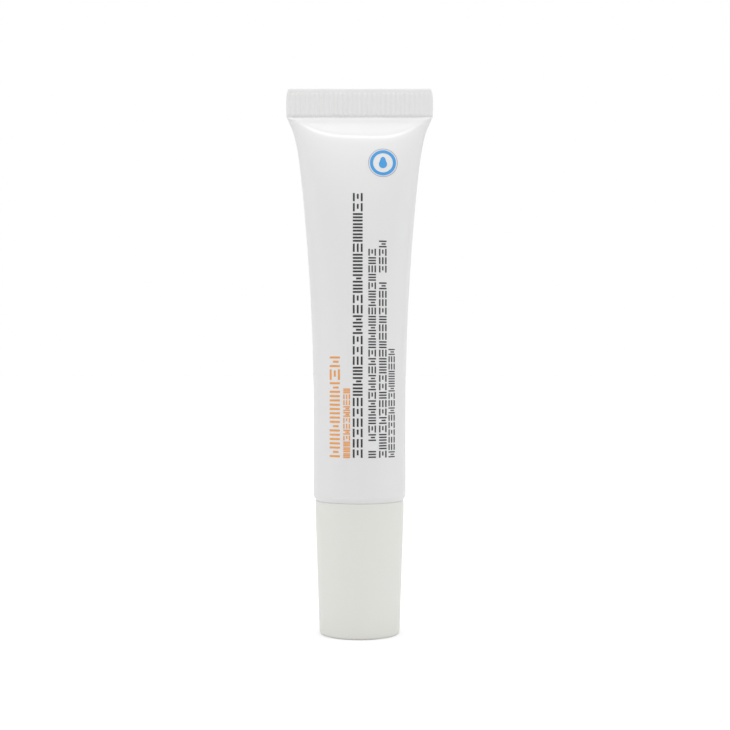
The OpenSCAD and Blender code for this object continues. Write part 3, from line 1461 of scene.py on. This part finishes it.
@dataclass(frozen=True)
class Studio:
    """A pale floor, soft light and the camera, as in a plain product picture."""

    picture_px: float = 730.0
    focal_px: float = 1400.0
    mm_per_px: float = 0.2102
    axis_px: float = 359.6
    floor_px: float = 632.7
    sensor_mm: float = 36.0
    floor_half: float = 6.0
    floor_seen: float = 0.52
    floor_glow: float = 0.44
    floor_bounce: float = 0.75
    world_strength: float = 0.812
    top_sun: float = 1.34
    front_sun: float = 0.24
    side_sun: float = 0.51

    def camera(self) -> None:
        """Puts the camera where it gives the picture's frame, level and square to the front."""
        data = bpy.data.cameras.new("camera")
        data.sensor_width = self.sensor_mm
        data.lens = self.focal_px / self.picture_px * self.sensor_mm
        data.clip_start = 0.01
        camera = added("camera", data)
        half = self.picture_px / 2
        camera.location = (
            (half - self.axis_px) * self.mm_per_px * MM,
            -self.focal_px * self.mm_per_px * MM,
            (self.floor_px - half) * self.mm_per_px * MM,
        )
        camera.rotation_euler = (math.pi / 2, 0.0, 0.0)
        bpy.context.scene.camera = camera

    def seen(self, tree: bpy.types.NodeTree) -> Field:
        """Tells the background that is looked at from the one that gives light.

        Args:
            tree: A material's or the world's tree.

        Returns:
            1 where the camera, or a mirroring or clear surface, looks at it, else 0.
        """
        rays = tree.nodes.new("ShaderNodeLightPath")
        total = Field(tree, rays.outputs["Is Camera Ray"])
        for name in ("Is Glossy Ray", "Is Transmission Ray"):
            total = total.at_least(Field(tree, rays.outputs[name]))
        return total

    def floor(self) -> None:
        """Lays the pale floor, which keeps the object's shadow."""
        h = self.floor_half
        mesh = bpy.data.meshes.new("floor")
        mesh.from_pydata([(-h, -h, 0.0), (h, -h, 0.0), (h, h, 0.0), (-h, h, 0.0)], [], [(0, 1, 2, 3)])
        material = bpy.data.materials.new("floor_pale")
        material.use_nodes = True
        tree = material.node_tree
        shader = tree.nodes["Principled BSDF"]
        seen = self.seen(tree)
        tone = blend(self.floor_bounce, self.floor_seen, seen)
        tree.links.new(tone.socket, shader.inputs["Base Color"])
        tree.links.new((seen * self.floor_glow).socket, shader.inputs["Emission Strength"])
        shader.inputs["Emission Color"].default_value = WHITE
        shader.inputs["Roughness"].default_value = 1.0
        shader.inputs["Specular IOR Level"].default_value = 0.0
        mesh.materials.append(material)
        floor = added("floor", mesh)

    def world(self) -> None:
        """Lights the scene evenly, and shows white where nothing stands."""
        world = bpy.data.worlds.new("studio")
        world.use_nodes = True
        tree = world.node_tree
        mix = tree.nodes.new("ShaderNodeMixShader")
        tree.links.new(self.seen(tree).socket, mix.inputs["Fac"])
        lights = tree.nodes["Background"], tree.nodes.new("ShaderNodeBackground")
        for light, strength, slot in zip(lights, (self.world_strength, 1.0), mix.inputs[1:]):
            light.inputs["Color"].default_value = WHITE
            light.inputs["Strength"].default_value = strength
            tree.links.new(light.outputs[0], slot)
        tree.links.new(mix.outputs[0], tree.nodes["World Output"].inputs["Surface"])
        bpy.context.scene.world = world

    def lamp(self, name: str, strength: float, spread_deg: float, from_direction: Triple) -> None:
        """Adds one soft lamp that shines evenly from far away.

        Args:
            name: The lamp's name.
            strength: Its strength.
            spread_deg: How wide it looks from the object.
            from_direction: Where it stands, seen from the object.
        """
        data = bpy.data.lights.new(name, "SUN")
        data.energy = strength
        data.angle = math.radians(spread_deg)
        lamp = added(name, data)
        lamp.rotation_euler = Vector(from_direction).to_track_quat("Z", "Y").to_euler()

    def build(self) -> None:
        """Sets up the whole studio."""
        self.camera()
        self.floor()
        self.world()
        self.lamp("top_light", self.top_sun, 20.0, (0.0, 0.0, 1.0))
        self.lamp("front_light", self.front_sun, 30.0, (0.0, -0.6, 1.0))
        self.lamp("left_light", self.side_sun, 50.0, (-1.0, -0.27, 0.05))
        self.lamp("right_light", self.side_sun, 50.0, (1.0, -0.27, 0.05))
        bpy.context.scene.view_settings.view_transform = "Standard"


def main() -> None:
    """Builds the dressed model around the packed one."""
    logging.basicConfig(level=logging.INFO, format="%(message)s")
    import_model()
    sleeve_sizes = SleeveSizes.from_frame()

    ride(Sleeve(sleeve_sizes).build(), Body.TUBE, "tube_sleeve")
    for piece in Print(sleeve_sizes).build():
        ride(piece, Body.TUBE)
    head_sizes = HeadSizes.from_frame(sleeve_sizes.foot_z)
    head, neck_thread = Head(head_sizes).build()
    ride(head, Body.TUBE, "tube_head")
    ride(neck_thread, Body.TUBE)
    ride(Filling(sleeve_sizes, head_sizes).build(), Body.TUBE, "ointment")
    cap, cap_thread = Cap(CapSizes.from_frame()).build()
    ride(cap, Body.CAP, "screw_cap")
    ride(cap_thread, Body.CAP)

    Studio().build()


if __name__ == "__main__":
    main()
